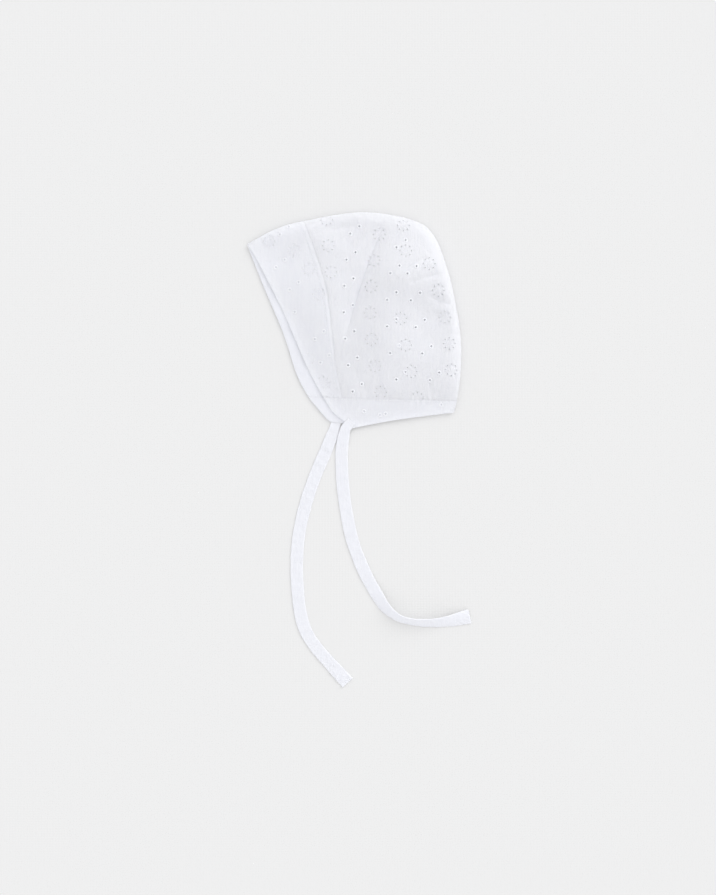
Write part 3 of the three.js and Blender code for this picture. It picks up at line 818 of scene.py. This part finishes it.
class Nodes:
    """A material's node tree, with short calls to add and link its nodes."""

    def __init__(self, name):
        self.material = bpy.data.materials.new(name)
        self.material.use_nodes = True
        self.tree = self.material.node_tree
        self.tree.nodes.clear()
        self.place = self.add("ShaderNodeTexCoord").outputs["Object"]

    def add(self, kind, inputs=None, **settings):
        node = self.tree.nodes.new(kind)
        for name, value in settings.items():
            setattr(node, name, value)
        for name, value in (inputs or {}).items():
            if isinstance(value, bpy.types.NodeSocket):
                self.tree.links.new(value, node.inputs[name])
            else:
                node.inputs[name].default_value = value
        return node

    def scaled(self, x, y, z):
        """The object's own place, in units of x, y and z millimetres."""
        scale = (1 / (x * MM), 1 / (y * MM), 1 / (z * MM))
        return self.add("ShaderNodeMapping", {"Vector": self.place, "Scale": scale}).outputs["Vector"]

    def noise(self, size, detail=2.0, roughness=0.5):
        inputs = {"Vector": self.scaled(*size), "Scale": 1.0, "Detail": detail, "Roughness": roughness}
        return self.add("ShaderNodeTexNoise", inputs).outputs["Fac"]

    def threads(self, axis, pitch, distortion=1.0):
        """Ridges a pitch apart, in millimetres."""
        inputs = {
            "Vector": self.place,
            "Scale": WAVE_TURN / (pitch * MM),
            "Distortion": distortion,
            "Detail": 1.0,
            "Detail Scale": 2.0,
        }
        wave = self.add("ShaderNodeTexWave", inputs, wave_type="BANDS", bands_direction=axis)
        return wave.outputs["Fac"]

    def times(self, value, factor):
        return self.add("ShaderNodeMath", {0: value, 1: factor}, operation="MULTIPLY").outputs[0]

    def plus(self, first, second):
        return self.add("ShaderNodeMath", {0: first, 1: second}, operation="ADD").outputs[0]

    def relief(self, heights, strength=1.0):
        """A bump from heights in millimetres, as pairs of a texture and its height."""
        total = None
        for texture, height in heights:
            part = self.times(texture, height)
            total = part if total is None else self.plus(total, part)
        inputs = {"Height": total, "Distance": MM, "Strength": strength}
        return self.add("ShaderNodeBump", inputs).outputs["Normal"]

    def tint(self, texture, dark, light):
        mix = self.add("ShaderNodeMix", data_type="RGBA")
        self.tree.links.new(texture, mix.inputs["Factor"])
        mix.inputs[MIX_DARK].default_value = (*dark, 1)
        mix.inputs[MIX_LIGHT].default_value = (*light, 1)
        return mix.outputs[MIX_RESULT]

    def surface(self, colour, normal, sockets):
        shader = self.add("ShaderNodeBsdfPrincipled", {"Base Color": colour, "Normal": normal})
        for name, value in sockets.items():
            shader.inputs[name].default_value = value
        output = self.add("ShaderNodeOutputMaterial")
        self.tree.links.new(shader.outputs["BSDF"], output.inputs["Surface"])
        return self.material


def cotton(name, light, dark, slub, crepe, weave):
    """White cotton: a fine weave, slubs along +Y and a soft crepe, heights in millimetres."""
    nodes = Nodes(name)
    heights = [
        (nodes.threads("X", 0.42), weave),
        (nodes.threads("Y", 0.48), weave),
        (nodes.noise((0.9, 9, 3), detail=3), slub),
        (nodes.noise((2.2, 2.8, 2.2), detail=3), crepe),
    ]
    colour = nodes.tint(nodes.noise((1.6, 12, 6), detail=3), dark, light)
    sockets = {
        "Roughness": 0.85,
        "Specular IOR Level": 0.3,
        "Subsurface Weight": 0.75,
        "Subsurface Radius": (1.0, 1.0, 1.0),
        "Subsurface Scale": THIN_CLOTH * MM,
    }
    return nodes.surface(colour, nodes.relief(heights), sockets)


def thread(name, light, dark):
    """Mercerised embroidery thread, a little glossier than the cloth."""
    nodes = Nodes(name)
    heights = [(nodes.noise((0.16, 0.16, 0.16)), 0.05)]
    colour = nodes.tint(nodes.noise((2, 2, 2)), dark, light)
    return nodes.surface(colour, nodes.relief(heights), {"Roughness": 0.6, "Sheen Weight": 0.1})


def table_cloth():
    """Pale canvas that the bonnet lies on."""
    nodes = Nodes("pale_canvas")
    heights = [
        (nodes.threads("X", 1.1, 2.0), 0.03),
        (nodes.threads("Y", 1.2, 2.0), 0.03),
        (nodes.noise((5, 5, 5)), 0.05),
    ]
    colour = nodes.tint(nodes.noise((2, 14, 5), detail=3), FLOOR_DARK, FLOOR_LIGHT)
    sockets = {"Roughness": 0.95, "Specular IOR Level": 0.1}
    return nodes.surface(colour, nodes.relief(heights), sockets)


eyelet_cotton = cotton("eyelet_cotton", (0.95, 0.958, 0.995), (0.86, 0.868, 0.925), 0.2, 0.24, 0.05)
band_cotton = cotton("band_cotton", (0.93, 0.938, 0.98), (0.86, 0.868, 0.92), 0.18, 0.22, 0.05)
# The bands' inner faces: the band's own cotton made darker, painted shade for the inside of the bands
# and for the strip of the far side beside the face edge
shaded_facing_cotton = cotton("shaded_facing_cotton", (0.88, 0.887, 0.915), (0.85, 0.857, 0.885), 0.08, 0.1, 0.03)
tie_cotton = cotton("tie_cotton", (0.9, 0.907, 0.93), (0.85, 0.857, 0.89), 0.12, 0.16, 0.01)
thread_cotton = thread("thread_cotton", (0.95, 0.956, 0.98), (0.92, 0.926, 0.96))


# Camera, straight above the table as in the photograph

PIXEL = 0.72  # millimetres of the table that one pixel of the photograph shows
PHOTO_SIZE = (716, 895)
BONNET_PIXEL = (354.4, 320.25)  # the frame's origin in the photograph
CAMERA_HEIGHT = 1500

camera_data = bpy.data.cameras.new("camera")
camera = bpy.data.objects.new("camera", camera_data)
bpy.context.scene.collection.objects.link(camera)
bpy.context.scene.camera = camera
camera.location = Vector(
    (
        (PHOTO_SIZE[0] / 2 - BONNET_PIXEL[0]) * PIXEL,
        -(PHOTO_SIZE[1] / 2 - BONNET_PIXEL[1]) * PIXEL,
        CAMERA_HEIGHT,
    )
) * MM
camera_data.lens = camera_data.sensor_width * CAMERA_HEIGHT / (PHOTO_SIZE[1] * PIXEL)


# Ties

HEM_LENGTH = 8  # cloth folded back at the end of a tie
HEM_STEP = 0.35  # height of the folded hem
HEM_EDGE = 0.35
TIE_SINK = 0.19  # the real tie is thinner than the part's, so it lies lower
TUCK = 4  # cloth of a tie sewn inside the neck band
TUCK_SINK = {"left_tie": 1.6, "right_tie": 0.0}  # down to the settled neck band
TUCK_REACH = 16
TIE_FINE = 0.7
TIE_COLUMNS = 13
TIE_NECK = (0.22, 9)  # how much narrower a tie is at the band, and over what length
TIE_FLARE = (0.14, 13)  # how much wider it is at its end
TIE_WOBBLE = 0.02
CRINKLE = 0.1
CREASED = 0.34
CREASED_REACH = 9
RIBBON_EDGE = 0.55  # thickness of a tie's edges, as a share of RIBBON
EDGE_POWER = 8
CORD_EDGE = (0.1, 0.86, 0.09)  # its stitched edge: height, place across the tie, and reach


def tie_route(route):
    """Middle line and roll of a tie, every TIE_FINE along it, from TUCK inside the neck band."""
    fine = smooth(np.array(route, float))
    inside = fine[0] - unit(fine[1] - fine[0]) * TUCK
    fine = np.vstack([inside, fine])
    length = np.r_[0, np.cumsum(np.linalg.norm(np.diff(fine[:, :3], axis=0), axis=1))]
    along = np.linspace(0, length[-1], round(length[-1] / TIE_FINE) + 1)
    even = np.stack([np.interp(along, length, axis) for axis in fine.T], axis=-1)
    return along - TUCK, even[:, :3], np.radians(even[:, 3])


def make_tie(node, seed):
    along, middle, roll = tie_route(TIE_ROUTES[node])
    out = np.maximum(along, 0)
    left = along[-1] - along
    ahead = unit(np.gradient(middle, axis=0))
    level = unit(np.cross([0, 0, 1], ahead))
    flat_over = np.cross(ahead, level)
    across = level * np.cos(roll)[:, None] + flat_over * np.sin(roll)[:, None]
    over = np.cross(ahead, across)
    wobble = ripples(np.column_stack([along, along * 0]), seed, 9, 40, scatter=0.1)
    (narrower, near), (wider, far) = TIE_NECK, TIE_FLARE
    half = TIE_WIDTH / 2 * (1 - narrower * bump(out, near)) * (1 + wider * bump(left, far))
    half = half * (1 + TIE_WOBBLE * wobble)
    hem = 1 / (1 + np.exp((left - HEM_LENGTH) / HEM_EDGE))
    shares = np.sin(np.linspace(-math.pi / 2, math.pi / 2, TIE_COLUMNS))
    spread = np.tile(shares, len(along)) * (TIE_WIDTH / 2)
    sheet = np.column_stack([np.repeat(along, TIE_COLUMNS), spread])
    crinkle = CRINKLE * ripples(sheet, seed + 1, 5, 14, scatter=0.9, count=12)
    creased = CREASED * ripples(sheet, seed + 2, 2.2, 4.5, heading=1.15, scatter=0.35, count=6)
    end_share = np.repeat(bump(left, CREASED_REACH), TIE_COLUMNS)
    lift = (crinkle + creased * end_share).reshape(len(along), TIE_COLUMNS)
    rise, place, reach = CORD_EDGE
    rows = []
    for face in (1, -1):
        columns = shares if face > 0 else shares[::-1]
        waves = lift if face > 0 else lift[:, ::-1]
        edge = np.sqrt(np.clip(1 - columns**EDGE_POWER, 0, 1))
        thick = RIBBON / 2 * (RIBBON_EDGE + (1 - RIBBON_EDGE) * edge)[None]
        thick = thick + (HEM_STEP / 2 * hem)[:, None] * edge[None]
        cord_edge = rise * bump(np.abs(columns) - place, reach)
        side = across[:, None] * (columns[None] * half[:, None])[..., None]
        depth = waves + face * (thick + cord_edge[None])
        rows.append(middle[:, None] + side + over[:, None] * depth[..., None])
    vertices = np.concatenate(rows, axis=1)
    sink = TIE_SINK + TUCK_SINK[node] * bump(out, TUCK_REACH)
    vertices[..., 2] = TABLE_REST + softened(vertices[..., 2] - TABLE_REST - sink[:, None])
    return along, middle, vertices


def build_tie(name, node, seed):
    along, middle, rings = make_tie(node, seed)
    shape = Shape()
    count, width = rings.shape[:2]
    shape.add(rings.reshape(-1, 3), grid_faces(count, width, closed=True))
    for ring, flip in ((rings[0], True), (rings[-1], False)):
        half = width // 2
        faces = []
        for k in range(half - 1):
            quad = (k, k + 1, width - 2 - k, width - 1 - k)
            faces.append(quad if flip else quad[::-1])
        shape.add(ring, faces)
    tie = shape.build(name, "tie_cotton", [tie_cotton], [node])
    merge_close(tie)
    return tie, along, middle


def merge_close(piece, distance=0.01 * MM):
    mesh = bmesh.new()
    mesh.from_mesh(piece.data)
    bmesh.ops.remove_doubles(mesh, verts=mesh.verts, dist=distance)
    bmesh.ops.recalc_face_normals(mesh, faces=mesh.faces)
    mesh.to_mesh(piece.data)
    mesh.free()


build_tie("tie_left", "left_tie", 41)
build_tie("tie_right", "right_tie", 57)


# Crown sides

def crown_loop(step):
    seam = band_seam.points
    top, back = closed_edge.nearest(np.array([seam[0], hem_back]))[0]
    seam_pattern = unrolled(seam[TRIM:])
    edge = edge_pattern(back, top, step)
    hem_pattern = unrolled(np.linspace(hem_front, hem_back, HEM_STEPS)[:-1])
    down = Line(np.vstack([edge[-1:], seam_pattern])).evenly(step)
    right = Line(np.vstack([down[-1:], hem_pattern[1:], edge[:1]])).evenly(step)
    return joined(down, right, edge), down, right


def seam_strength(spots):
    """How sharp the front band's seam is, less near the neck where the cloth lies flat."""
    share = 1 / (1 + np.exp((SEAM_FADES - spots[:, 1]) / SEAM_FADE))
    return SEAM_LEAST + (1 - SEAM_LEAST) * share


def crown_side(side, name, node, spacing, stitch_height):
    loop, seam_line, hem_line = crown_loop(spacing)
    margin, small_margin = CROWN_MARGINS
    singles = well_inside(loop, unrolled(as_pairs(column_spots(PAIR_COLUMNS))), margin)
    small, middles = cluster_spots(loop, unrolled(column_spots(CLUSTER_COLUMNS)), small_margin)
    rows = []
    for line in (seam_line, hem_line):
        rows += [(beside(line, -off), off + SEAM_ROOM) for off in SEAM_ROWS]
    if side == "upper":
        for fold in PRESSED:
            way = fold_lines[fold][0].points
            rows += [(unrolled(beside(way, off)), FOLD_ROOM) for off in FOLD_ROWS]
    pattern, triangles = cut_out(loop, spacing, with_radii(singles, small), rows=rows)
    seam_gap = np.abs(Line(seam_line).nearest(pattern)[1])
    hem_gap = np.abs(Line(hem_line).nearest(pattern)[1])
    depth = rolled(pattern)[3]
    lift = -SEAM_SINK * (bump(seam_gap, SEAM_DIP) * seam_strength(pattern) + bump(depth, EDGE_DIP))
    lift -= HEM_SINK * bump(hem_gap, SEAM_DIP)
    drop = np.full(len(pattern), LAWN)
    sheet = half_sheet(pattern, triangles, side, lift, drop, [seam_gap, hem_gap, depth])
    thick_cloth(*sheet).build(name, "eyelet_cotton", [eyelet_cotton, eyelet_cotton], [node])
    embroider(f"{name}_embroidery", "eyelet_cotton", singles, small, middles, side, stitch_height)


crown_side("upper", "crown_left", "left_side", CROWN_MESH, CROWN_STITCH)
crown_side("lower", "crown_right", "right_side", LOWER_MESH, TABLE_GAP)


# Bands

def band_loop(side, step):
    face = smooth(placed(FACE_EDGE[side]))
    seam = band_seam.points
    top = closed_edge.nearest(seam[:1])[0][0]
    edge = edge_pattern(top, TIP, step)
    face_line = Line(np.vstack([edge[-1:], unrolled(face[TRIM:])])).evenly(step)
    bottom_line = Line(np.linspace(face_line[-1], seam[-1], BOTTOM_STEPS)).evenly(step)
    up = Line(np.vstack([bottom_line[-1:], unrolled(seam[TRIM:-1])[::-1], edge[:1]])).evenly(step)
    return joined(face_line, bottom_line, up, edge), up, bottom_line


def pit_depth(pattern, pits):
    """How far a band is pressed in at its eyelets."""
    total = np.zeros(len(pattern))
    for centre, radius in pits:
        share = np.linalg.norm(pattern - centre, axis=1) / radius
        total += PIT_DEPTH * np.clip((1 - share) / PIT_WALL, 0, 1)
    return total


def front_band():
    halves = []
    for side in ("upper", "lower"):
        loop, seam_line, bottom_line = band_loop(side, BAND_MESH)
        rows = [(beside(seam_line, -off), BAND_ROOM) for off in BAND_ROWS]
        margin, small_margin = BAND_MARGINS
        singles = well_inside(loop, unrolled(as_pairs(placed(BAND_PAIRS))), margin)
        small, middles = cluster_spots(loop, unrolled(placed(BAND_CLUSTERS)), small_margin)
        pits = with_radii(singles, small) if side == "upper" else []
        pattern, triangles = cut_out(loop, BAND_MESH, pits=pits, rows=rows)
        gap = np.abs(Line(seam_line).nearest(pattern)[1])
        ridge = ALLOWANCE_RISE / (1 + np.exp((gap - ALLOWANCE) / ALLOWANCE_EDGE))
        lift = ridge - SEAM_SINK * (bump(gap - ALLOWANCE, ALLOWANCE_DIP) + bump(gap, SEAM_DIP))
        lift = lift * seam_strength(pattern)
        lift = lift * (1 if side == "upper" else LOWER_SEAM)
        lift = lift - pit_depth(pattern, pits)
        depth = rolled(pattern)[3]
        lift = lift * np.clip(depth / EDGE_FADE, 0, 1)
        bottom_gap = np.abs(Line(bottom_line).nearest(pattern)[1])
        sewn = [gap, bottom_gap]
        halves.append(half_sheet(pattern, triangles, side, lift, doubled(pattern), sewn))
        if side == "upper":
            spots = (singles, small, middles)
            embroider("front_band_embroidery", "band_cotton", *spots, side, BAND_STITCH)
            stitch_row("band_seam_stitches", beside(seam_line, -ALLOWANCE))
    # The inner faces take the darker cotton, which is painted shade
    cloth = [band_cotton, shaded_facing_cotton]
    thick_cloth(*welded(halves)).build("front_band_cloth", "band_cotton", cloth, ["front_band"])


def neck_loop(side, step):
    neck = smooth(placed(NECK_EDGE[side]))
    end = smooth(placed(TIE_END[side]), FINE_STEPS // 2)
    back = closed_edge.nearest(hem_back[None])[0][0]
    edge = edge_pattern(NAPE, back, step)
    hem_pattern = unrolled(np.linspace(hem_back, hem_front, HEM_STEPS)[1:])
    top_line = Line(np.vstack([edge[-1:], hem_pattern, end[:1]])).evenly(step)
    down = Line(np.vstack([top_line[-1:], unrolled(end[1:])])).evenly(step)
    along = Line(np.vstack([down[-1:], unrolled(neck[1:-TRIM]), edge[:1]])).evenly(step)
    return joined(down, along, edge, top_line), top_line


def neck_band():
    halves = []
    for side in ("upper", "lower"):
        loop, hem_line = neck_loop(side, BAND_MESH)
        rows = [(beside(hem_line, -off), BAND_ROOM) for off in NECK_ROWS]
        singles = well_inside(loop, unrolled(placed(NECK_EYELETS)), NECK_MARGIN)
        pits = with_radii(singles) if side == "upper" else []
        pattern, triangles = cut_out(loop, BAND_MESH, pits=pits, rows=rows)
        gap = np.abs(Line(hem_line).nearest(pattern)[1])
        depth = rolled(pattern)[3]
        lift = -HEM_SINK * bump(gap, SEAM_DIP)
        lift = (lift - pit_depth(pattern, pits)) * np.clip(depth / EDGE_FADE, 0, 1)
        halves.append(half_sheet(pattern, triangles, side, lift, doubled(pattern), [gap]))
        if side == "upper":
            embroider("neck_band_embroidery", "band_cotton", singles, [], [], side, BAND_STITCH)
            stitch_row("neck_band_stitches", beside(hem_line, -NECK_STITCHES))
    # The inner faces take the darker cotton, which is painted shade
    cloth = [band_cotton, shaded_facing_cotton]
    thick_cloth(*welded(halves)).build("neck_band_cloth", "band_cotton", cloth, ["neck_band"])


front_band()
neck_band()


# Floor and light

FLOOR_SIZE = 12  # metres, so that its edges stay out of sight
WINDOW_SIDE = (0.69, 0.73, 0.58)
WINDOW_BREADTH = 40
WINDOW_LIGHT = 0.8
WORLD_LIGHT = 0.922


def make_floor():
    bpy.ops.mesh.primitive_plane_add(size=FLOOR_SIZE)
    floor = bpy.context.object
    floor.name = "floor"
    floor.data.materials.append(table_cloth())


def make_window(direction, breadth, strength):
    """A wide soft light from one side, like a large window."""
    data = bpy.data.lights.new("window", "SUN")
    data.angle = math.radians(breadth)
    data.energy = strength
    data.color = DAYLIGHT
    window = bpy.data.objects.new("window", data)
    bpy.context.scene.collection.objects.link(window)
    window.rotation_euler = Vector(direction).to_track_quat("Z", "Y").to_euler()


def make_world(strength):
    world = bpy.data.worlds.new("studio")
    world.use_nodes = True
    background = world.node_tree.nodes["Background"]
    background.inputs["Color"].default_value = (*DAYLIGHT, 1)
    background.inputs["Strength"].default_value = strength
    bpy.context.scene.world = world


make_floor()
make_window(WINDOW_SIDE, WINDOW_BREADTH, WINDOW_LIGHT)
make_world(WORLD_LIGHT)
bpy.context.scene.view_settings.view_transform = "Standard"
